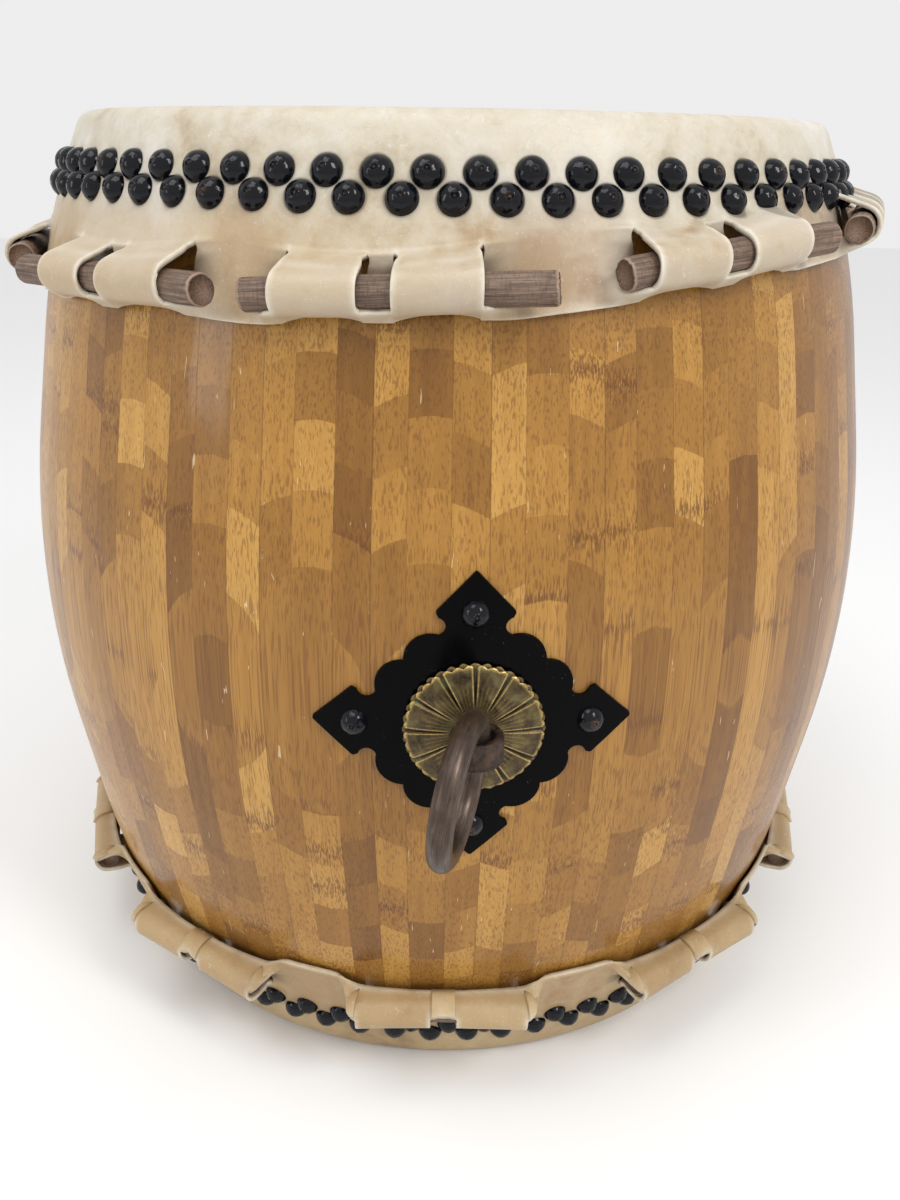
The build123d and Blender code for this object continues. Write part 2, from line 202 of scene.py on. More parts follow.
class Graph:
    """The shader nodes of one material, written as formulas."""

    def __init__(self, name):
        self.material = bpy.data.materials.new(name)
        self.material.use_nodes = True
        self.tree = self.material.node_tree
        self.shader = self.tree.nodes["Principled BSDF"]

    def feed(self, socket, value):
        if isinstance(value, bpy.types.NodeSocket):
            self.tree.links.new(value, socket)
        else:
            socket.default_value = value

    def node(self, kind, inputs, output=0, **settings):
        made = self.tree.nodes.new(kind)
        for name, value in settings.items():
            setattr(made, name, value)
        for key, value in inputs.items():
            self.feed(made.inputs[key], value)
        return made.outputs[output]

    def math(self, operation, *values):
        return self.node("ShaderNodeMath", dict(enumerate(values)), operation=operation)

    def add(self, *values):
        total = values[0]
        for value in values[1:]:
            total = self.math("ADD", total, value)
        return total

    def times(self, *values):
        total = values[0]
        for value in values[1:]:
            total = self.math("MULTIPLY", total, value)
        return total

    def vector(self, x, y, z):
        return self.node("ShaderNodeCombineXYZ", {0: x, 1: y, 2: z})

    def axes(self, vector):
        made = self.tree.nodes.new("ShaderNodeSeparateXYZ")
        self.tree.links.new(vector, made.inputs[0])
        return made.outputs[:]

    def place(self):
        """Place on the drum in millimetres."""
        spot = self.tree.nodes.new("ShaderNodeTexCoord").outputs["Object"]
        return self.node("ShaderNodeVectorMath", {0: spot, "Scale": 1000}, operation="SCALE")

    def attribute(self, name, output="Fac"):
        made = self.tree.nodes.new("ShaderNodeAttribute")
        made.attribute_name = name
        return made.outputs[output]

    def noise(self, vector, scale=1.0, detail=3.0, roughness=0.5, distortion=0.0):
        inputs = {"Vector": vector, "Scale": scale, "Detail": detail}
        inputs.update({"Roughness": roughness, "Distortion": distortion})
        return self.node("ShaderNodeTexNoise", inputs)

    def dice(self, x, y, z):
        return self.node("ShaderNodeTexWhiteNoise", {"Vector": self.vector(x, y, z)})

    def between(self, value, start, end, low=0.0, high=1.0):
        """Low before start, high after end, and smooth between them."""
        inputs = {"Value": value, "From Min": start, "From Max": end, "To Min": low, "To Max": high}
        return self.node("ShaderNodeMapRange", inputs, interpolation_type="SMOOTHSTEP")

    def ramp(self, value, stops):
        made = self.tree.nodes.new("ShaderNodeValToRGB")
        elements = made.color_ramp.elements
        while len(elements) < len(stops):
            elements.new(1.0)
        for element, (place, shade) in zip(elements, stops):
            element.position = place
            element.color = shade
        self.feed(made.inputs[0], value)
        return made.outputs[0]

    def mix(self, factor, first, second, blend="MIX"):
        inputs = {0: factor, 6: first, 7: second}
        return self.node("ShaderNodeMix", inputs, 2, data_type="RGBA", blend_type=blend)

    def bump(self, height, distance, strength=1.0, normal=None):
        inputs = {"Height": height, "Distance": distance * METRES, "Strength": strength}
        if normal is not None:
            inputs["Normal"] = normal
        return self.node("ShaderNodeBump", inputs)

    def surface(self, **inputs):
        for name, value in inputs.items():
            self.feed(self.shader.inputs[name.replace("_", " ")], value)
        return self.material


def bamboo():
    """Lacquered staves glued up from flat bamboo layers, three strips wide."""
    g = Graph("bamboo")
    x, y, z = g.axes(g.place())
    turn = g.math("ARCTAN2", x, g.times(y, -1))
    stave_place = g.math("DIVIDE", g.add(g.times(turn, 180 / np.pi), 360 - FIRST_SEAM), 12)
    stave = g.math("FLOOR", stave_place)
    local = g.times(g.add(g.math("FRACT", stave_place), -0.5), 12)
    radius = g.math("SQRT", g.add(g.times(x, x), g.times(y, y)))
    across = g.times(radius, g.math("SINE", g.times(local, np.pi / 180)))
    deep = g.times(radius, g.math("COSINE", g.times(local, np.pi / 180)))
    strip = g.add(g.math("GREATER_THAN", local, -2.4), g.math("GREATER_THAN", local, 2.07))
    board = g.add(g.times(stave, 3), strip)

    feather = g.noise(g.vector(g.times(across, 2.2), g.times(z, 0.05), board), 1.0, 2.0)
    start = g.times(g.dice(board, 3.0, 1.0), 5.5)
    layer = g.math("FLOOR", g.math("DIVIDE", g.add(deep, start, g.times(feather, 0.25)), 5.5))
    tone = g.dice(board, layer, 5.0)
    code = g.times(tone, 91)
    wide = g.noise(g.vector(g.times(across, 0.2), g.times(z, 0.012), code), 1.0, 2.0)
    shade = g.add(g.times(tone, 0.5), g.times(g.dice(board, 7.0, 2.0), 0.45), g.times(wide, 0.4), -0.2)
    base = g.ramp(
        shade,
        [
            (0.0, colour(112, 74, 28)),
            (0.35, colour(142, 99, 41)),
            (0.65, colour(167, 121, 54)),
            (1.0, colour(194, 149, 77)),
        ],
    )

    spacing = g.add(g.times(g.dice(board, layer, 9.0), 90), 170)
    wobble = g.noise(g.vector(g.times(across, 0.9), g.times(z, 0.1), code), 1.0, 3.0)
    knot_place = g.add(z, g.times(g.dice(board, layer, 2.0), 300), g.times(wobble, 6))
    from_knot = g.math("PINGPONG", knot_place, g.times(spacing, 0.5))
    near_knot = g.between(from_knot, 1.0, 16.0, 1.0, 0.0)
    at_knot = g.between(from_knot, 0.5, 4.0, 1.0, 0.0)
    long_cuts = g.noise(g.vector(g.times(across, 1.3), g.times(deep, 1.3), g.times(z, 0.012)), 1.0, 1.0)
    short_cuts = g.noise(g.vector(g.times(across, 1.0), g.times(deep, 1.6), g.times(z, 0.12)), 1.0, 1.0)
    to_end = g.between(g.math("ABSOLUTE", g.add(z, -MIDDLE)), 70.0, 190.0)
    bundles = g.add(long_cuts, g.times(to_end, g.add(short_cuts, g.times(long_cuts, -1))))
    hairs = g.noise(g.vector(g.times(across, 1.9), g.times(deep, 1.9), g.times(z, 0.03)), 1.0, 2.0)
    patch = g.noise(g.vector(g.times(across, 0.05), g.times(z, 0.02), code), 1.0, 2.0)
    fleck_level = g.add(0.60, g.times(patch, -0.14), g.times(near_knot, -0.07))
    above = g.add(bundles, g.times(fleck_level, -1))
    fleck = g.between(above, -0.02, 0.1)
    streaks = g.between(hairs, 0.4, 0.7)
    base = g.mix(g.times(streaks, 0.16), base, colour(118, 74, 34))
    strength = g.add(0.34, g.times(patch, 0.22), g.times(near_knot, 0.2))
    base = g.mix(g.times(fleck, strength), base, colour(96, 56, 25))
    base = g.mix(g.times(at_knot, g.between(hairs, 0.42, 0.6), 0.5), base, colour(84, 46, 20))
    pale_hair = g.times(near_knot, g.between(hairs, 0.36, 0.30, 0.0, 1.0), 0.35)
    base = g.mix(pale_hair, base, colour(216, 172, 106))

    edge_left = g.math("ABSOLUTE", g.add(local, 2.4))
    edge_right = g.math("ABSOLUTE", g.add(local, -2.07))
    to_strip = g.times(g.math("MINIMUM", edge_left, edge_right), radius, np.pi / 180)
    to_seam = g.times(g.add(6, g.times(g.math("ABSOLUTE", local), -1)), radius, np.pi / 180)
    line = g.math(
        "MAXIMUM",
        g.between(to_strip, 0.05, 0.35, 0.3, 0.0),
        g.between(to_seam, 0.08, 0.45, 0.42, 0.0),
    )
    base = g.mix(line, base, colour(70, 40, 18))
    scratches = g.noise(g.vector(g.times(turn, 90), g.times(z, 0.05), 3.0), 1.0, 2.0, 0.5, 1.2)
    scratch = g.times(g.between(scratches, 0.735, 0.75), 0.5)
    base = g.mix(scratch, base, colour(226, 205, 168))

    grain_bump = g.bump(g.add(streaks, g.times(fleck, 0.6)), -0.05, 0.4)
    ripple_height = g.noise(g.vector(g.times(turn, 6), g.times(z, 0.012), 1.0), 1.0, 2.0)
    lacquer = g.bump(g.add(g.times(line, -0.35), g.times(ripple_height, 2.0)), 0.5, 0.6)
    return g.surface(
        Base_Color=base,
        Roughness=g.add(0.36, g.times(streaks, 0.12)),
        Normal=grain_bump,
        Specular_IOR_Level=0.2,
        Coat_Weight=0.32,
        Coat_Roughness=0.1,
        Coat_Normal=lacquer,
    )


def tack_distance(g, end, lower):
    """Distance in millimetres to the nearest tack of an end, over the hide."""
    x, y, z = g.axes(g.place())
    if lower:
        z = g.add(g.times(z, -1), DRUM_HEIGHT)
    angle = g.times(g.math("ARCTAN2", x, g.times(y, -1)), 180 / np.pi)
    step = 360 / end.tack_count
    rows = []
    for depth, shift in zip(end.tack_depths, (0, step / 2)):
        radius, level = skin(DRUM_HEIGHT - depth, HIDE_OUTSIDE)
        turns = g.math("DIVIDE", g.add(angle, 720 - end.tack_start - shift), step)
        off = g.add(g.math("FRACT", g.add(turns, 0.5)), -0.5)
        side = g.times(off, step * np.pi / 180 * float(radius))
        up = g.times(g.add(z, -float(level)), 1 / float(np.cos(shell_lean(DRUM_HEIGHT - depth))))
        rows.append(g.math("SQRT", g.add(g.times(side, side), g.times(up, up))))
    return g.math("MINIMUM", *rows)


def rawhide(name, end, lower, pale, cream, brown):
    """Rawhide: cream with brown stains, whitened where it is worn or creased, with painted shade in the bays,
    round the tacks, under the dowels and on the shoulder's left.
    """
    g = Graph(name)
    spot = g.place()
    clouds = g.noise(spot, 0.011, 4.0, 0.55, 0.6)
    mottle = g.noise(spot, 0.09, 4.0, 0.6)
    pores = g.noise(spot, 1.4, 2.0, 0.6)
    veins = g.math("ABSOLUTE", g.add(g.noise(spot, 0.05, 3.0, 0.55, 1.4), -0.5))
    base = g.ramp(
        g.add(g.times(clouds, 0.75), g.times(mottle, 0.35), -0.05),
        [(0.3, brown), (0.46, cream), (0.66, pale)],
    )
    # Brown laid over the hide: real staining, and painted shade in the bays between the groups.
    stain_and_shade = g.attribute("stain_and_shade")
    base = g.mix(g.times(stain_and_shade, g.between(mottle, 0.25, 0.75, 0.35, 1.0)), base, colour(134, 98, 62))
    base = g.mix(g.between(veins, 0.004, 0.022, 0.08, 0.0), base, colour(128, 100, 70))
    level = g.axes(spot)[2]
    side = g.axes(spot)[0]
    far = g.add(g.times(level, -1), DRUM_HEIGHT) if lower else level
    # Painted shade: the shoulder is darkened to tan towards its left side.
    tan = g.times(g.between(far, DRUM_HEIGHT - 32, DRUM_HEIGHT - 56), g.between(side, 60.0, -210.0, 0.25, 0.9))
    tan = g.times(tan, g.between(clouds, 0.3, 0.7, 1.0, 0.5))
    base = g.mix(g.times(tan, 0.75), base, colour(178, 150, 108))
    scuffs = g.noise(spot, 0.35, 4.0, 0.7, 2.0)
    base = g.mix(g.between(scuffs, 0.6, 0.7, 0.0, 0.35), base, colour(226, 221, 208))
    wear = g.times(g.attribute("wear"), g.between(mottle, 0.3, 0.6, 0.45, 1.0))
    base = g.mix(wear, base, colour(214, 207, 190))
    away = g.add(tack_distance(g, end, lower), -end.tack_radius)
    # A thin dark ring round each tack: dirt and painted contact shade.
    grime_and_contact_shade = g.between(away, -0.4, 0.7, 0.5, 0.0)
    base = g.mix(grime_and_contact_shade, base, colour(64, 52, 42))
    base = g.mix(g.times(g.attribute("shade"), 0.8), base, colour(84, 62, 42))
    folds = g.noise(spot, 0.035, 3.0, 0.6, 0.8)
    height = g.add(g.times(folds, 1.2), g.times(mottle, 0.35), g.times(pores, 0.05))
    pressed = g.add(height, g.between(away, -1.0, 5.0, -0.5, 0.0))
    return g.surface(
        Base_Color=base,
        Roughness=g.between(mottle, 0.3, 0.7, 0.42, 0.6),
        Specular_IOR_Level=0.45,
        Normal=g.bump(pressed, 1.6, 0.5),
        Subsurface_Weight=0.12,
        Subsurface_Radius=(0.9, 0.5, 0.25),
        Subsurface_Scale=0.003,
        Coat_Weight=0.12,
        Coat_Roughness=0.35,
    )


def dowel_wood():
    """Greyed hardwood sticks with open lengthwise grain and darker end grain."""
    g = Graph("dowel_wood")
    along, side, up = g.axes(g.attribute("grain", "Vector"))
    end = g.attribute("end")
    code = g.times(g.attribute("code"), 50)
    fibre_place = g.vector(g.add(g.times(along, 0.035), code), g.times(side, 0.9), g.times(up, 0.9))
    fibres = g.noise(fibre_place, 1.0, 4.0, 0.6, 0.3)
    fine = g.noise(g.vector(g.times(along, 0.16), g.times(side, 3.2), g.times(up, 3.2)), 1.0, 2.0)
    base = g.ramp(
        fibres,
        [(0.3, colour(64, 47, 37)), (0.5, colour(108, 87, 73)), (0.7, colour(142, 119, 100))],
    )
    base = g.mix(g.between(fine, 0.52, 0.68, 0.0, 0.6), base, colour(58, 42, 33))
    cuts = g.noise(g.vector(g.times(along, 1.1), g.times(side, 0.2), g.times(up, 0.2)), 1.0, 3.0)
    base = g.mix(g.between(cuts, 0.5, 0.62, 0.0, 0.4), base, colour(66, 49, 39))
    rings = g.noise(g.vector(0.0, g.times(side, 1.5), g.times(up, 1.5)), 1.0, 3.0)
    end_shade = g.ramp(rings, [(0.35, colour(84, 62, 48)), (0.65, colour(128, 100, 80))])
    base = g.mix(end, base, end_shade)
    rim = g.attribute("rim")
    base = g.mix(g.times(rim, 0.6), base, colour(176, 150, 126))
    return g.surface(
        Base_Color=base,
        Roughness=0.62,
        Normal=g.bump(g.add(fibres, g.times(fine, 0.5), g.times(cuts, 0.4)), 0.4, 0.7),
    )


def enamel(name, worn_from, worn_shade):
    """Black enamelled iron, rubbed through to rusty iron on top."""
    g = Graph(name)
    spot = g.place()
    top = g.attribute("top")
    code = g.attribute("code")
    blotch = g.noise(spot, 0.55, 3.0, 0.65)
    reach = g.add(g.times(top, 0.8), g.times(blotch, 0.55), g.times(code, 0.3))
    worn = g.between(reach, worn_from, worn_from + 0.07)
    base = g.mix(g.times(worn, 0.8), colour(12, 13, 18), worn_shade)
    base = g.mix(g.times(worn, g.between(blotch, 0.5, 0.62)), base, colour(52, 38, 32))
    dents = g.noise(spot, 0.28, 2.0)
    height = g.add(dents, g.times(worn, -0.25), g.times(worn, blotch, 0.4))
    return g.surface(
        Base_Color=base,
        Metallic=g.times(worn, 0.4),
        Roughness=g.add(g.times(worn, 0.34), 0.09),
        Specular_IOR_Level=0.24,
        Normal=g.bump(height, 0.7, 0.5),
    )


def plate_black():
    """Gloss black sheet with rounded edges that catch the light, and a few pale specks."""
    g = Graph("plate_black")
    spot = g.place()
    specks = g.noise(spot, 0.8, 2.0, 0.7)
    dust = g.noise(spot, 0.06, 3.0)
    speck = g.times(g.between(specks, 0.71, 0.76), g.between(dust, 0.45, 0.6), 0.5)
    base = g.mix(speck, colour(5, 5, 6), colour(120, 116, 110))
    rounded = g.node("ShaderNodeBevel", {"Radius": 0.0007}, samples=6)
    return g.surface(
        Base_Color=base,
        Roughness=g.between(dust, 0.3, 0.7, 0.13, 0.24),
        Normal=g.bump(dust, 0.3, 0.25, rounded),
        Specular_IOR_Level=0.05,
    )


def brass(name, dark, middle, bright, shine):
    """Old gilt brass: brown and green patina with gold left in the cuts and on the rims, and painted shade in the
    valleys between the petals.
    """
    g = Graph(name)
    spot = g.place()
    cloud = g.noise(spot, 0.13, 4.0, 0.6, 0.4)
    fine = g.noise(spot, 1.1, 3.0, 0.65)
    base = g.ramp(g.add(g.times(cloud, 0.8), g.times(fine, 0.25)), [(0.38, dark), (0.58, middle)])
    base = g.mix(g.between(cloud, 0.52, 0.66, 0.0, 0.45), base, colour(104, 108, 70))
    gold = g.times(g.attribute("gold"), g.between(fine, 0.35, 0.6, 0.45, 1.0))
    base = g.mix(gold, base, bright)
    # Painted shade darkens the valleys between the petals.
    base = g.mix(g.times(g.attribute("valley_shade"), 0.85), base, colour(28, 22, 16))
    return g.surface(
        Base_Color=base,
        Metallic=g.add(0.62, g.times(gold, 0.35)),
        Roughness=g.add(shine, g.times(gold, -0.12), g.times(fine, 0.12)),
        Normal=g.bump(fine, 0.12, 0.6),
    )


def iron(name, dark, pale, roughness):
    """Hand-forged iron, browned and pitted."""
    g = Graph(name)
    spot = g.place()
    rust = g.noise(spot, 0.16, 4.0, 0.62)
    pits = g.noise(spot, 0.75, 3.0, 0.6)
    rounded = g.node("ShaderNodeBevel", {"Radius": 0.0009}, samples=6)
    return g.surface(
        Base_Color=g.ramp(g.add(g.times(rust, 0.7), g.times(pits, 0.3)), [(0.38, dark), (0.62, pale)]),
        Metallic=0.6,
        Roughness=g.between(pits, 0.3, 0.7, roughness, roughness + 0.2),
        Normal=g.bump(g.add(rust, pits), 0.5, 0.6, rounded),
    )


def ring_iron():
    """Burnished brown iron wire with lengthwise draw marks."""
    g = Graph("ring_iron")
    spot = g.place()
    along, girth, _ = g.axes(g.attribute("grain", "Vector"))
    marks = g.noise(g.vector(g.times(along, 0.09), g.times(girth, 1.1), 2.0), 1.0, 4.0, 0.65)
    rust = g.noise(spot, 0.1, 4.0, 0.6)
    base = g.ramp(
        g.add(g.times(marks, 0.6), g.times(rust, 0.4)),
        [(0.34, colour(52, 42, 36)), (0.52, colour(80, 67, 58)), (0.70, colour(108, 94, 83))],
    )
    return g.surface(
        Base_Color=base,
        Metallic=0.72,
        Roughness=g.between(marks, 0.3, 0.7, 0.42, 0.32),
        Normal=g.bump(marks, 0.15, 0.5),
    )


# Meshes

def grid_faces(rows, columns, closed=False, first=0):
    """Four-sided faces over a grid of points, row by row."""
    across = columns if closed else columns - 1
    row, column = np.meshgrid(np.arange(rows - 1), np.arange(across), indexing="ij")
    beside = (column + 1) % columns
    corners = (row, column), (row, beside), (row + 1, beside), (row + 1, column)
    return np.stack([first + r * columns + c for r, c in corners], -1).reshape(-1, 4)


def add_piece(name, points, faces, material, body, replaced, layers=None):
    """A smooth mesh that rides on a body and stands for some nodes of the frame."""
    mesh = bpy.data.meshes.new(name)
    mesh.from_pydata((np.asarray(points) * METRES).tolist(), [], [list(map(int, f)) for f in faces])
    mesh.update()
    for label, values in (layers or {}).items():
        values = np.asarray(values, np.float32)
        flat = values.ndim == 1
        layer = mesh.attributes.new(label, "FLOAT" if flat else "FLOAT_VECTOR", "POINT")
        layer.data.foreach_set("value" if flat else "vector", values.ravel())
    mesh.polygons.foreach_set("use_smooth", np.ones(len(mesh.polygons), bool))
    mesh.materials.append(material)
    piece = bpy.data.objects.new(name, mesh)
    bpy.context.scene.collection.objects.link(piece)
    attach(piece, body)
    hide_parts(*replaced)
    return piece


class Heap:
    """Points, faces and layers of several shapes that make one piece."""

    def __init__(self):
        self.points, self.faces, self.layers, self.count = [], [], {}, 0

    def add(self, points, faces, **layers):
        self.points.append(points)
        self.faces.extend([[int(i) + self.count for i in face] for face in faces])
        for label, values in layers.items():
            self.layers.setdefault(label, []).append(values)
        self.count += len(points)

    def piece(self, name, material, body, slot, replaced):
        layers = {label: np.concatenate(values) for label, values in self.layers.items()}
        points = np.concatenate(self.points)
        return add_piece(name, points, self.faces, material, body, replaced, layers)


# Hides

Group = namedtuple("Group", "angle level slope centre_radius tabs ends")


def lacing_groups(end):
    """Every group of an end: its angle, level, slope, distance out, tabs and dowel ends."""
    found = []
    line_radius = float(shell_radius(DRUM_HEIGHT - end.depth))
    for angle, left_tab, right_tab, left_over, right_over, rise, lean in end.groups:
        for turn, side in ((angle, 1), (angle + 180, -1)):
            heading = np.radians(turn - TILT_HEADING)
            level = DRUM_HEIGHT - end.depth + end.tilt * np.sin(heading) + side * rise
            slope = np.arctan(end.tilt * np.cos(heading) / line_radius) + side * np.radians(lean)
            half = TAB_GAP / 2
            left, right, left_end, right_end = (
                half + np.radians(part) * line_radius
                for part in (left_tab, right_tab, left_tab + left_over, right_tab + right_over)
            )
            radius = float(skin(level, dowel_seat(end))[0])
            tabs = [(-left, -half), (half, right)]
            found.append(Group(turn, float(level), float(slope), radius, tabs, (-left_end, right_end)))
    return found


def dowel_seat(end):
    """Distance of a dowel's axis outside the shell."""
    return HIDE_OUTSIDE + 0.3 + end.dowel_radius


def turn_between(angle, other):
    """Angle from other to angle, between -180 and 180."""
    return (angle - other + 180) % 360 - 180


def along_dowel(group, angle):
    """Place along a group's dowel that lies at an angle round the drum."""
    turn = np.clip(turn_between(angle, group.angle), -60, 60)
    return group.centre_radius * np.tan(np.radians(turn))


def column_angles(groups, step=1.0):
    """Angles of the hide's columns, closer together beside the slits, and which are slits."""
    slits = []
    near = []
    for group in groups:
        for tab in group.tabs:
            for place in tab:
                slit = group.angle + np.degrees(np.arctan(place / group.centre_radius))
                slits.append(slit)
                for gap in (0.7, 1.8, 3.4):
                    near += [slit - np.degrees(gap / 255), slit + np.degrees(gap / 255)]
    fixed = np.array(slits + near) % 360
    plain = [a for a in np.arange(0, 360, step) if np.abs(turn_between(a, fixed)).min() > step * 0.45]
    angles = np.concatenate([fixed, plain])
    is_slit = np.arange(len(angles)) < len(slits)
    order = np.argsort(angles)
    return angles[order], is_slit[order]


def lacing_level(groups, angles):
    """Level of the lacing line at each angle: straight along the dowels, eased between them."""
    places = []
    for group in groups:
        for x in (group.tabs[0][0] - 8, group.tabs[1][1] + 8):
            turn = group.angle + np.degrees(np.arctan(x / group.centre_radius))
            places.append((turn % 360, group.level + x * np.sin(group.slope)))
    places.sort()
    turns, levels = np.array(places).T
    return np.interp(angles % 360, turns, levels, period=360)


def polyline_at(path, count, start=0.0, end=1.0):
    """Points at even distances along a path, between two shares of its length."""
    steps = np.hypot(*np.diff(path, axis=0).T)
    length = np.concatenate([[0], np.cumsum(steps)])
    wanted = np.linspace(start, end, count) * length[-1]
    return np.stack([np.interp(wanted, length, path[:, k]) for k in range(2)], -1)


def rounded_path(path, spread=1.2, count=160):
    """The path resampled evenly, with its corners softened and its ends kept."""
    even = polyline_at(path, count)
    gap = np.hypot(*(even[1] - even[0]))
    reach = int(3 * spread / gap) + 1
    weights = np.exp(-0.5 * (np.arange(-reach, reach + 1) * gap / spread) ** 2)
    weights /= weights.sum()
    before = 2 * even[0] - even[reach:0:-1]
    after = 2 * even[-1] - even[-2 : -reach - 2 : -1]
    padded = np.concatenate([before, even, after])
    return np.stack([np.convolve(padded[:, k], weights, "valid") for k in range(2)], -1)


def tab_path(end, sag, middle, edge):
    """Section of the hide over a dowel, as distance out from its axis and up along the shell,
    in three parts: to the slits' beginning, to their end, and to the free edge."""
    floor = HIDE_OUTSIDE - dowel_seat(end) - sag
    reach = end.dowel_radius + HIDE_OVER
    head = np.radians(end.head_turn)
    leave = np.radians(end.side_exit + (end.middle_exit - end.side_exit) * middle)
    run = (reach * np.cos(head) - floor) / np.sin(head)
    foot = (floor, reach * np.sin(head) + run * np.cos(head))
    before = (floor, foot[1] + 3)
    turns = np.linspace(head, -leave, 40)
    arc = reach * np.stack([np.cos(turns), np.sin(turns)], -1)
    stand = end.side_stand + (end.middle_stand - end.side_stand) * middle
    path = rounded_path(np.array([before, foot, *arc, (floor + stand, edge)]), 1.6)
    slit = int(np.argmax(path[:, 0] > floor + SLIT_RISE))
    lip = int(np.argmax(np.arctan2(path[:, 1], path[:, 0]) < -np.radians(end.crest_turn)))
    rows = zip((0, slit, lip), (slit, lip, len(path) - 1), TAB_ROWS)
    return [polyline_at(path[first : last + 1], count + 1) for first, last, count in rows]


def under_path(end, sag, slit, lip):
    """Section of the hide beside a slit: under the dowel and up round its far side to the lip."""
    floor = HIDE_OUTSIDE - dowel_seat(end) - sag
    hug = end.dowel_radius + (0.4 if end.per_tab else 2.2)
    turns = np.radians(np.linspace(-130, -end.crest_turn - 4, 14))
    arc = hug * np.stack([np.cos(turns), np.sin(turns)], -1)
    flat = [(floor, slit[1] - 4), (floor, -4.0)]
    return rounded_path(np.array([slit, *flat, *arc, lip]), 0.8)


def rim_profile(count):
    """Flat head and rounded rim of the upper end, out to where the shoulder begins."""
    curve = SHOULDER_CURVE + HIDE_OUTSIDE - RIM_ROUND
    level = DRUM_HEIGHT - RIM_ROUND
    rise = level - MIDDLE - SHOULDER_LEVEL
    centre = SHOULDER_CENTRE + np.sqrt(curve**2 - rise**2)
    touch = np.arctan2(rise, centre - SHOULDER_CENTRE)
    turns = np.linspace(np.pi / 2, touch, count)
    return np.stack([centre + RIM_ROUND * np.cos(turns), level + RIM_ROUND * np.sin(turns)], -1), touch


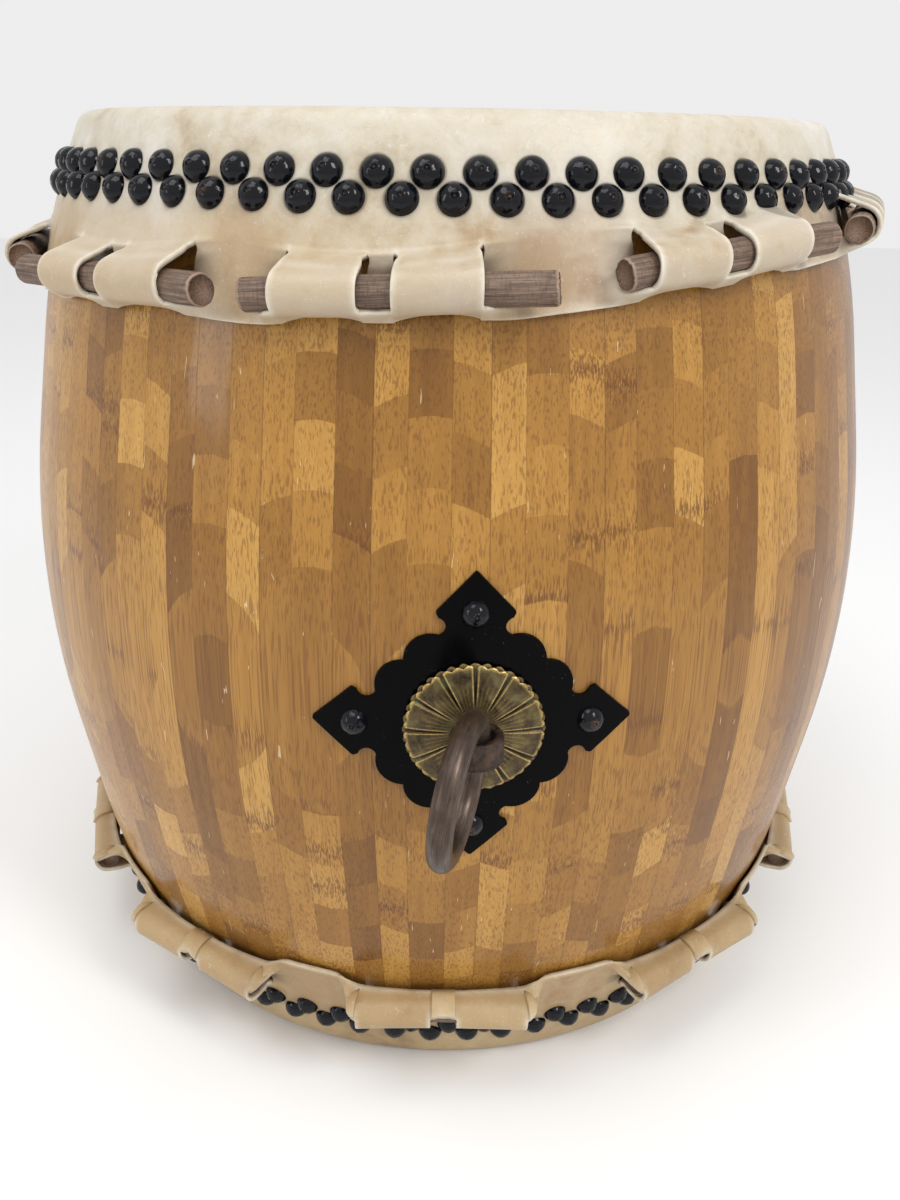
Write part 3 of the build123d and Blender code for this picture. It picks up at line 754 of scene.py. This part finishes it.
def hide_piece(name, end, lower, material, replaced):
    """A whole hide: head, rim, shoulder, tabs over the dowels and free edge."""
    groups = lacing_groups(end)
    angles, is_slit = column_angles(groups)
    count = len(angles)
    line = lacing_level(groups, angles)
    lean = shell_lean(line)

    nearest = np.full(count, 1e9)
    side_gap = np.full(count, 1e9)
    sag = np.zeros(count)
    tab_share = np.zeros(count)
    toward = np.zeros(count)
    for group in groups:
        x = along_dowel(group, angles)
        facing = np.abs(turn_between(angles, group.angle)) < 50
        outer_left, outer_right = group.tabs[0][0], group.tabs[1][1]
        for first, last in group.tabs:
            off = np.where(facing, np.maximum(first - x, x - last), 1e9)
            closer = off < nearest
            nearest = np.where(closer, off, nearest)
            reach = np.clip(x, outer_left - 6, outer_right + 6)
            sag = np.where(closer, reach**2 / (2 * group.centre_radius), sag)
            tab_share = np.where(closer, np.clip((x - first) / (last - first), 0, 1), tab_share)
            toward = np.where(closer, np.sign((first + last) / 2 - x), toward)
        outside = np.maximum(outer_left - x, x - outer_right)
        side_gap = np.minimum(side_gap, np.where(facing, outside, 1e9))
    inside = nearest < -1e-6
    in_gap = (side_gap < 0) & ~inside
    hold = np.exp(-((np.maximum(nearest, 0) / np.where(in_gap, 18.0, LIP_FADE)) ** 2))
    middle = np.where(nearest < 0, np.sin(np.pi * tab_share) ** 0.7, 0.0)
    if not end.per_tab:
        hold = np.where(inside, 1.0, np.where(in_gap, hold, 1 - ease(side_gap, 0.0, 15.0)))
    side_edge = end.side_margin + (end.middle_margin - end.side_margin) * middle
    fray = 0.5 * ripple(np.radians(angles) * 9, 0, 3) + 0.3 * ripple(np.radians(angles) * 30, 0, 4)

    rim, touch = rim_profile(8)
    disc = np.linspace(0, 1, 9)[1:-1, None] * (rim[0, 0], 0) + (0, DRUM_HEIGHT)
    top_rows = np.concatenate([disc, rim])
    head_rows = 22
    first_tab_row = len(top_rows) + head_rows
    rows = first_tab_row + sum(TAB_ROWS) + 1
    slit_row, lip_row = first_tab_row + TAB_ROWS[0], first_tab_row + TAB_ROWS[0] + TAB_ROWS[1]
    slit_rows = range(slit_row + 1, lip_row)
    row_marks = np.cumsum([0, *TAB_ROWS])

    grid = np.zeros((rows, count, 2))
    slit_side = np.zeros((rows, count, 2))
    shoulder_end = MIDDLE + SHOULDER_LEVEL + SHOULDER_CURVE * np.sin(touch)
    for j in range(count):
        out = np.array([np.cos(lean[j]), np.sin(lean[j])])
        up = np.array([-np.sin(lean[j]), np.cos(lean[j])])
        axis = np.array(skin(line[j], dowel_seat(end))) + sag[j] * out
        parts = tab_path(end, sag[j], middle[j], -side_edge[j] + fray[j])
        over = np.concatenate([parts[0], parts[1][1:], parts[2][1:]])
        under = over.copy()
        under_part = under_path(end, sag[j], parts[1][0], parts[1][-1])
        under[row_marks[1] : row_marks[2] + 1] = polyline_at(under_part, TAB_ROWS[1] + 1)
        marks = (over[0, 1], over[row_marks[1], 1], -9.0, -end.margin + fray[j])
        along = np.interp(np.arange(len(over)), row_marks, marks)
        rise = 0.3 + 0.9 * ease(-along, 8.0, 13.0)
        plain = np.stack(skin(line[j] + along * np.cos(lean[j]), HIDE_OUTSIDE + rise), -1)
        over = axis + over[:, :1] * out + over[:, 1:] * up
        under = axis + under[:, :1] * out + under[:, 1:] * up
        grid[first_tab_row:, j] = over if inside[j] else plain + hold[j] * (under - plain)
        slit_side[first_tab_row:, j] = over

        tab_level = grid[first_tab_row, j, 1] - HIDE_OUTSIDE * out[1]
        levels = np.linspace(shoulder_end, tab_level, head_rows + 2)[1:-1]
        grid[len(top_rows) : first_tab_row, j] = np.stack(skin(levels, HIDE_OUTSIDE), -1)
        grid[: len(top_rows), j] = top_rows

    row = np.arange(rows)[:, None] * np.ones(count)
    near_slit = np.exp(-((np.abs(nearest) / 2.0) ** 2)) * np.ones((rows, 1))
    held = hold * np.ones((rows, 1))
    tab = inside * np.ones((rows, 1))
    on_roll = ease(row, slit_row, slit_row + 5) * (1 - ease(row, lip_row - 2, lip_row + 5))
    wear = 0.85 * near_slit * on_roll * tab
    wear = wear + 0.7 * np.exp(-(((row - lip_row) / 2.4) ** 2)) * held * (1 - tab)
    wear = wear + 0.5 * near_slit * np.exp(-(((row - slit_row + 2) / 3.0) ** 2))
    wear = wear + 0.35 * np.exp(-(((row - slit_row - 9) / 3.0) ** 2)) * tab
    wear = wear + 0.5 * ease(row, rows - 4, rows - 1)
    # Brown in the bays between the groups is partly staining and partly painted shade; the tabs get a little tan
    # of their own.
    bay = ease(side_gap, 4.0, 22.0) * np.ones((rows, 1))
    stain_and_shade = 0.8 * bay * ease(row, first_tab_row - 12, slit_row + 4) * (1 - ease(row, lip_row, rows + 2))
    stain_and_shade = stain_and_shade + 0.32 * tab * ease(row, slit_row, slit_row + 8)
    shade = ease(row, slit_row + 2, slit_row + 6) * (1 - ease(row, lip_row - 13, lip_row - 9))
    shade = shade * held * (1 - tab)

    opening = 1.3 * np.exp(-(((row - slit_row - 2) / 2.2) ** 2)) + 0.35 * on_roll
    push = np.degrees(opening * np.exp(-np.abs(nearest) / 4.0) / 255) * toward
    turn = angles + np.where(inside, push, -push)
    points = around(grid[..., 0], turn, grid[..., 1])
    sway = 0.3 + 0.3 * ripple(np.radians(turn) * 11, grid[..., 1] / 14, 11)
    free = 1 - ease(grid[..., 1], DRUM_HEIGHT - 60, DRUM_HEIGHT - 30)
    points = points + around(sway * free, turn, 0)
    slit_points = around(slit_side[..., 0], angles + push, slit_side[..., 1])

    index = np.arange(rows * count).reshape(rows, count)
    slit_index = index.copy()
    extra = [(i, j) for j in np.flatnonzero(is_slit) for i in slit_rows]
    every = [points.reshape(-1, 3)]
    if extra:
        where = tuple(np.array(extra).T)
        slit_index[where] = rows * count + np.arange(len(extra))
        every.append(slit_points[where])
    every.append(np.array([(0, 0, DRUM_HEIGHT)]))
    points = np.concatenate(every)

    middles = angles + turn_between(np.roll(angles, -1), angles) / 2
    faces = []
    for j in range(count):
        k = (j + 1) % count
        in_tab = False
        for group in groups:
            if abs(turn_between(middles[j], group.angle)) < 50:
                x = along_dowel(group, middles[j])
                in_tab = in_tab or any(first < x < last for first, last in group.tabs)
        use = slit_index if in_tab else index
        for i in range(rows - 1):
            faces.append((use[i, j], use[i + 1, j], use[i + 1, k], use[i, k]))
        faces.append((len(points) - 1, index[0, j], index[0, k]))

    layers = {}
    for label, values in (("wear", wear), ("stain_and_shade", stain_and_shade), ("shade", shade)):
        flat = [values.ravel()]
        if extra:
            flat.append(values[where] * (0 if label == "shade" else 1))
        flat.append([0.0])
        layers[label] = np.clip(np.concatenate(flat), 0, 1)
    if extra:
        layers["wear"][rows * count : -1] = 0.9
    if lower:
        points = upside_down(points)
        faces = [face[::-1] for face in faces]
    piece = add_piece(name, points, faces, material, "root", replaced, layers)
    sheet = piece.modifiers.new("sheet", "SOLIDIFY")
    sheet.thickness = HIDE_SHEET * METRES
    sheet.offset = -1
    return piece


# Dowels

def dowel_points(thickness, left, right, seed):
    """A whittled stick along X: points, faces and how each point is dressed."""
    source = np.random.default_rng(seed)
    sides = 36
    turns = np.linspace(0, 2 * np.pi, sides, endpoint=False)
    along = np.concatenate([[left, left + 0.5, left + 1.6], np.linspace(left + 4, right - 4, 26),
                            [right - 1.6, right - 0.5, right]])
    shrink = np.ones(len(along))
    shrink[[0, -1]] = 0.86
    shrink[[1, -2]] = 0.94
    x, t = np.meshgrid(along, turns, indexing="ij")
    facets = 0.985 + 0.015 * np.cos(5 * t + source.uniform(0, 6))
    wave = 1 + 0.012 * ripple(x / 9, 2 * np.sin(t), seed) + 0.008 * ripple(x / 3, 5 * np.cos(t), seed + 1)
    radius = thickness * np.minimum(shrink[:, None] * facets * wave, 1.01)
    ragged = source.uniform(0, 0.7, (2, sides))
    chip = source.uniform(0, 2 * np.pi, 2)
    lean = source.uniform(0.05, 0.16, 2)
    first = np.abs(x - left) < 2
    last = np.abs(x - right) < 2
    x = x + np.where(first, ragged[0] + lean[0] * radius * (1 + np.cos(t - chip[0])), 0)
    x = x - np.where(last, ragged[1] + lean[1] * radius * (1 + np.cos(t - chip[1])), 0)
    side, up = radius * np.cos(t), radius * np.sin(t)
    points = np.stack([x, side, up], -1).reshape(-1, 3)
    faces = [list(face[::-1]) for face in grid_faces(len(along), sides, True)]
    end_layer = np.zeros((len(along), sides))
    rim_layer = np.zeros((len(along), sides))
    end_layer[[0, -1]] = 1
    rim_layer[[1, -2]] = 1
    caps = []
    for row, flip in ((0, False), (len(along) - 1, True)):
        ring = np.arange(row * sides, (row + 1) * sides)
        middle = points[ring].mean(0)
        caps.append(middle)
        centre = len(points) + len(caps) - 1
        for k in range(sides):
            face = [centre, int(ring[k]), int(ring[(k + 1) % sides])]
            faces.append(face if flip else face[::-1])
    points = np.concatenate([points, caps])
    end_layer = np.append(end_layer.ravel(), [1, 1])
    rim_layer = np.append(rim_layer.ravel(), [0, 0])
    return points, faces, end_layer, rim_layer


def dowel_piece(name, end, lower, material):
    """All the dowels of one end."""
    heap = Heap()
    for number, group in enumerate(lacing_groups(end)):
        local, faces, end_layer, rim_layer = dowel_points(end.dowel_radius, *group.ends, 40 + number + 30 * lower)
        lean = float(shell_lean(group.level))
        radius, level = skin(group.level, dowel_seat(end))
        x_axis = np.array([np.cos(group.slope), 0, np.sin(group.slope)])
        normal = np.array([0, -np.cos(lean), np.sin(lean)])
        out = normal - (normal @ x_axis) * x_axis
        out /= np.linalg.norm(out)
        up = np.cross(x_axis, -out)
        points = local[:, :1] * x_axis + local[:, 1:2] * out + local[:, 2:] * up
        points = points + np.array([0, -radius, level])
        turn = np.radians(group.angle)
        spin = np.array([[np.cos(turn), -np.sin(turn), 0], [np.sin(turn), np.cos(turn), 0], [0, 0, 1]])
        points = points @ spin.T
        code = np.full(len(points), number / 10)
        if lower:
            points = upside_down(points)
            faces = [face[::-1] for face in faces]
        heap.add(points, faces, grain=local, end=end_layer, rim=rim_layer, code=code)
    return heap.piece(name, material, "root", "dowel_wood", [name])


# Tacks and nails

def dome(radius, height, seed, rings=9, sides=26):
    """A hammered dome on the XY plane, +Z out, with how near each point is to its top."""
    source = np.random.default_rng(seed)
    ball = (radius**2 + height**2) / (2 * height)
    span = np.arcsin(radius / ball)
    tilt = np.linspace(0.12, 1, rings) * span
    turns = np.linspace(0, 2 * np.pi, sides, endpoint=False)
    t, a = np.meshgrid(tilt, turns, indexing="ij")
    reach = ball * np.sin(t)
    level = ball * np.cos(t) - (ball - height)
    x, y = reach * np.cos(a), reach * np.sin(a)
    level = level * (1 - 0.035 * (1 + ripple(x / 2.4, y / 2.4, seed)))
    out = 1 - 0.02 * (1 + ripple(3 * np.cos(a), 3 * np.sin(a), seed + 1))
    points = np.stack([x * out, y * out, level], -1).reshape(-1, 3)
    skirt = points[-sides:] * (1, 1, 0) - (0, 0, 0.5)
    faces = [list(face) for face in grid_faces(rings + 1, sides, True)]
    peak = np.array([[0, 0, height * (0.97 - 0.03 * source.random())]])
    points = np.concatenate([points, skirt, peak])
    centre = len(points) - 1
    faces += [[centre, k, (k + 1) % sides] for k in range(sides)]
    top = np.concatenate([1 - (t / span).ravel(), np.zeros(sides), [1.0]])
    return points, faces, top


def lay_domes(heap, places, radius, height, lower=False):
    """Domes set on the drum: each place is an angle, a radius, a level and a lean."""
    kinds = [dome(radius, height, 60 + k) for k in range(5)]
    for angle, reach, level, lean in places:
        points, faces, top = kinds[int(chance.integers(5))]
        spin = chance.uniform(0, 2 * np.pi)
        x = points[:, 0] * np.cos(spin) - points[:, 1] * np.sin(spin)
        y = points[:, 0] * np.sin(spin) + points[:, 1] * np.cos(spin)
        tip = chance.normal(0, 0.03, 2)
        z = points[:, 2] - 0.15 + tip[0] * x + tip[1] * y
        turn = np.radians(angle)
        across = np.array([np.cos(turn), np.sin(turn), 0])
        out = np.array([np.sin(turn) * np.cos(lean), -np.cos(turn) * np.cos(lean), np.sin(lean)])
        up = np.cross(out, across)
        centre = around(reach, angle, level)
        placed = centre + x[:, None] * across + y[:, None] * -up + z[:, None] * out
        faces = [face if lower else face[::-1] for face in faces]
        if lower:
            placed = upside_down(placed)
        heap.add(placed, faces, top=top, code=np.full(len(top), chance.random()))


def tack_pieces(end, lower, material):
    """The two rows of tacks of one end."""
    step = 360 / end.tack_count
    where = "bottom" if lower else "top"
    for row, depth, shift in zip(("outer", "inner"), end.tack_depths, (0, step / 2)):
        heap = Heap()
        reach, level = skin(DRUM_HEIGHT - depth, HIDE_OUTSIDE)
        lean = float(shell_lean(DRUM_HEIGHT - depth))
        angles = end.tack_start + shift + step * np.arange(end.tack_count)
        loose = chance.normal(0, 0.06, len(angles))
        places = [(a + d, float(reach), float(level), lean) for a, d in zip(angles, loose)]
        lay_domes(heap, places, end.tack_radius - 0.1, end.tack_height, lower)
        name = f"tacks_{where}_{row}"
        heap.piece(name, material, "root", "tack_black", [name])


def half_turned(points):
    """Points of the front handle turned to the back."""
    return points * (-1, -1, 1)


def plate_nails(side, material):
    """The four nails of one handle plate."""
    heap = Heap()
    reach = float(shell_radius(HANDLE_HEIGHT)) + PLATE_TOP
    turn = np.degrees(np.arcsin(NAIL_CIRCLE / reach))
    base = 0 if side == "front" else 180
    places = []
    for rise in (NAIL_CIRCLE, -NAIL_CIRCLE):
        radius, level = skin(HANDLE_HEIGHT + rise, PLATE_TOP)
        places.append((base, float(radius), float(level), float(shell_lean(HANDLE_HEIGHT + rise))))
    level_lean = float(shell_lean(HANDLE_HEIGHT))
    places += [(base + k * turn, reach, HANDLE_HEIGHT, level_lean) for k in (1, -1)]
    lay_domes(heap, places, NAIL_RADIUS, NAIL_HEIGHT)
    name = f"plate_nails_{side}"
    heap.piece(name, material, "root", "tack_black", [name])


# Rosette

def petal_reach(turn, radius, phase):
    """Reach of the petalled outline at each turn in radians, and place across the petal."""
    petal = 2 * np.pi / PETALS
    share = ((turn - phase) / petal) % 1
    scallop = share * SCALLOPS
    bow = np.sin(np.pi * (scallop % 1)) ** 0.8
    corner = np.floor(scallop)
    start = np.where(corner == 0, 2.6, 1.4)
    finish = np.where(corner == SCALLOPS - 1, 2.6, 1.4)
    low = start + (finish - start) * (scallop % 1)
    return radius - low * (1 - bow), share


def rosette_piece(name, side, radius, phase, crown, seat, material, cuts):
    """A sheet of petals, bowed outwards, each one rounded and cut with fine lines."""
    sides = PETALS * SCALLOPS * 10
    rings = 34
    turns = np.arange(sides) / sides * 2 * np.pi
    outline, share = petal_reach(turns, radius, phase)
    inner = 4.0
    reach = np.linspace(0, 1, rings)[:, None] ** 0.9
    r = inner + (outline[None, :] - inner) * reach
    share = np.broadcast_to(share, r.shape)
    ball = (ROSETTE_RADIUS**2 + crown**2) / (2 * crown)
    bow = np.sqrt(ball**2 - r**2) - (ball - crown)
    out_share = r / radius
    puff = 1.1 * np.sin(np.pi * share) ** 0.6 * ease(out_share, 0.25, 0.75)
    lines = np.abs(((share * cuts) % 1) - 0.5) * 2
    cut = (1 - ease(lines, 0.0, 0.45)) * ease(out_share, 0.16, 0.24) * (1 - ease(out_share, 0.66, 0.78))
    cut = cut * (np.abs(share - 0.5) < 0.42)
    valley = (1 - ease(np.minimum(share, 1 - share), 0.02, 0.07)) * ease(out_share, 0.3, 0.5)
    depth = 0.16 * cut + 1.0 * valley
    lift = 0.35 * ripple(3 * np.cos(turns), 3 * np.sin(turns), 21)[None, :] * out_share
    height = bow + puff - depth + lift - 0.5 * ease(out_share, 0.93, 1.0)
    x, z = r * np.sin(turns), r * np.cos(turns)
    y = -(seat + 1.2 + height)
    points = np.stack([x, np.broadcast_to(y, x.shape), HANDLE_HEIGHT + z], -1).reshape(-1, 3)
    beside = 1 - ease(np.abs(np.minimum(share, 1 - share) - 0.1), 0.0, 0.035)
    gold = 0.2 * cut + 0.8 * ease(out_share, 0.94, 0.98) + 0.7 * beside * ease(out_share, 0.3, 0.5)
    gold = np.clip(gold + 0.6 * ease(0.32 - out_share, 0.0, 0.12), 0, 1)
    # Painted shade along the valleys between the petals.
    valley_shade = np.clip(valley * (1 - ease(out_share, 0.97, 1.0)), 0, 1)
    faces = grid_faces(rings, sides, True)
    if side == "back":
        points = half_turned(points)
    node = name
    layers = {"gold": gold.ravel(), "valley_shade": valley_shade.ravel()}
    piece = add_piece(name, points, faces, material, "root", [node], layers)
    sheet = piece.modifiers.new("sheet", "SOLIDIFY")
    sheet.thickness = 1.0 * METRES
    sheet.offset = -1
    return piece


# Ring

def ring_piece(side, material):
    """The forged ring, a little uneven, hanging from its eye."""
    steps, sides = 180, 32
    u = np.linspace(0, 2 * np.pi, steps, endpoint=False)[:, None]
    v = np.linspace(0, 2 * np.pi, sides, endpoint=False)[None, :]
    spin = 3 * np.cos(u)
    wire = RING_WIRE * (1 + 0.012 * ripple(spin + 2 * np.sin(2 * u), 2 * np.sin(v), 31) - 0.006)
    wire = wire * (1 + 0.010 * ripple(6 * np.sin(3 * u), 4 * np.cos(v), 33))
    flat = RING_RADIUS + wire * np.cos(v)
    x = wire * np.sin(v) + 0 * u
    y, z = flat * np.cos(u), flat * np.sin(u)
    local = np.stack([x, y, z], -1).reshape(-1, 3)
    hang = Matrix.Rotation(np.radians(RING_TURN), 3, "Z")
    hang = hang @ Matrix.Rotation(np.radians(RING_LEAN), 3, "Y")
    hang = hang @ Matrix.Rotation(np.radians(RING_DROOP), 3, "X")
    bore = float(shell_radius(HANDLE_HEIGHT)) + PLATE_TOP + EYE_STANDOFF
    points = (local - (0, RING_RADIUS, 0)) @ np.array(hang).T + (0, -bore, HANDLE_HEIGHT)
    grain = np.stack(np.broadcast_arrays(u * RING_RADIUS, v * RING_WIRE, 0 * u), -1).reshape(-1, 3)
    faces = []
    for k in range(steps):
        for m in range(sides):
            after, beside = (k + 1) % steps, (m + 1) % sides
            faces.append((k * sides + m, after * sides + m, after * sides + beside, k * sides + beside))
    if side == "back":
        points = half_turned(points)
    name = f"ring_{side}"
    return add_piece(name, points, faces, material, name, [name], {"grain": grain})


# Stage

def area_light(name, place, target, size, power, shade=(1, 1, 1)):
    """A soft light aimed at a point."""
    lamp = bpy.data.lights.new(name, "AREA")
    lamp.shape = "RECTANGLE"
    lamp.size, lamp.size_y = size
    lamp.energy = power
    lamp.color = shade
    holder = bpy.data.objects.new(name, lamp)
    holder.location = place
    holder.rotation_euler = (Vector(target) - Vector(place)).to_track_quat("-Z", "Y").to_euler()
    bpy.context.scene.collection.objects.link(holder)


def stage():
    """Pale floor, white surroundings and soft lights."""
    bpy.context.scene.view_settings.view_transform = "Standard"
    world = bpy.data.worlds.new("surroundings")
    bpy.context.scene.world = world
    world.use_nodes = True
    background = world.node_tree.nodes["Background"]
    background.inputs["Color"].default_value = (1.0, 1.0, 1.0, 1.0)
    background.inputs["Strength"].default_value = 0.85
    g = Graph("floor")
    g.surface(Base_Color=(0.9, 0.9, 0.9, 1.0), Roughness=0.8)
    mesh = bpy.data.meshes.new("floor")
    mesh.from_pydata([(-6, -6, -0.001), (6, -6, -0.001), (6, 6, -0.001), (-6, 6, -0.001)], [], [(0, 1, 2, 3)])
    mesh.materials.append(g.material)
    floor = bpy.data.objects.new("floor", mesh)
    bpy.context.scene.collection.objects.link(floor)
    area_light("window", (0.9, -1.2, 1.5), (0, 0, 0.3), (0.45, 0.8), 14)
    area_light("ceiling", (-0.5, -0.6, 2.1), (0, 0, 0.3), (1.0, 1.0), 11)
    area_light("side", (-1.8, -0.9, 0.9), (0, 0, 0.3), (0.4, 0.9), 5)


def camera():
    """The photograph's camera."""
    data = bpy.data.cameras.new("camera")
    data.sensor_fit = "VERTICAL"
    data.sensor_height = SENSOR
    data.lens = SENSOR * CAMERA_FOCAL
    holder = bpy.data.objects.new("camera", data)
    bpy.context.scene.collection.objects.link(holder)
    level = np.cos(CAMERA_PITCH)
    forward = Vector((np.sin(CAMERA_YAW) * level, np.cos(CAMERA_YAW) * level, -np.sin(CAMERA_PITCH)))
    right = Vector((np.cos(CAMERA_YAW), -np.sin(CAMERA_YAW), 0))
    up = right.cross(forward)
    turned_right = right * np.cos(CAMERA_ROLL) + up * np.sin(CAMERA_ROLL)
    turned_up = up * np.cos(CAMERA_ROLL) - right * np.sin(CAMERA_ROLL)
    place = Matrix((turned_right, turned_up, -forward)).transposed().to_4x4()
    place.translation = Vector(CAMERA_PLACE)
    holder.matrix_world = place
    bpy.context.scene.camera = holder


def dress(node, material):
    """The frame's own mesh with a finish of ours."""
    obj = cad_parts[node]
    obj.data.materials.clear()
    obj.data.materials.append(material)


def main():
    stave_finish = bamboo()
    for k in range(STAVE_COUNT):
        dress(f"stave_{k + 1:02d}", stave_finish)
    upper_hide = rawhide(
        "hide_upper", UPPER, False, colour(205, 200, 191), colour(189, 179, 159), colour(154, 130, 98)
    )
    # The lower hide is yellower than the upper one and darkened further as painted shade from below.
    lower_hide_shaded = rawhide(
        "hide_lower", LOWER, True, colour(188, 165, 125), colour(164, 138, 98), colour(118, 90, 58)
    )
    wood = dowel_wood()
    tack_finish = enamel("tack_black", 1.16, colour(84, 66, 56))
    plate_finish = plate_black()
    gilt = brass("rosette_brass", colour(46, 37, 26), colour(92, 77, 47), colour(214, 182, 112), 0.3)
    backing = brass("backing_dark", colour(30, 26, 22), colour(58, 50, 38), colour(128, 104, 64), 0.4)
    forged = iron("forged_iron", colour(30, 24, 22), colour(84, 64, 52), 0.42)
    wire = ring_iron()

    hide_piece("head_top", UPPER, False, upper_hide, ["head_top"])
    hide_piece("head_bottom", LOWER, True, lower_hide_shaded, ["head_bottom"])
    dowel_piece("dowels_top", UPPER, False, wood)
    dowel_piece("dowels_bottom", LOWER, True, wood)
    tack_pieces(UPPER, False, tack_finish)
    tack_pieces(LOWER, True, tack_finish)

    rim_levels = np.array([HANDLE_HEIGHT - ROSETTE_RADIUS, HANDLE_HEIGHT + ROSETTE_RADIUS])
    seat = float(shell_radius(rim_levels).max()) + 2.4
    for side in ("front", "back"):
        dress(f"handle_plate_{side}", plate_finish)
        dress(f"eye_pin_{side}", forged)
        dress(f"pin_washer_{side}", forged)
        plate_nails(side, tack_finish)
        rosette_piece(
            f"rosette_backing_{side}", side, ROSETTE_RADIUS + 0.6, np.pi / PETALS, 3.0, seat,
            backing, 1,
        )
        rosette_piece(
            f"rosette_{side}", side, ROSETTE_RADIUS, 0.0, 4.0, seat + 1.4, gilt, 5,
        )
        ring_piece(side, wire)

    stage()
    camera()


main()
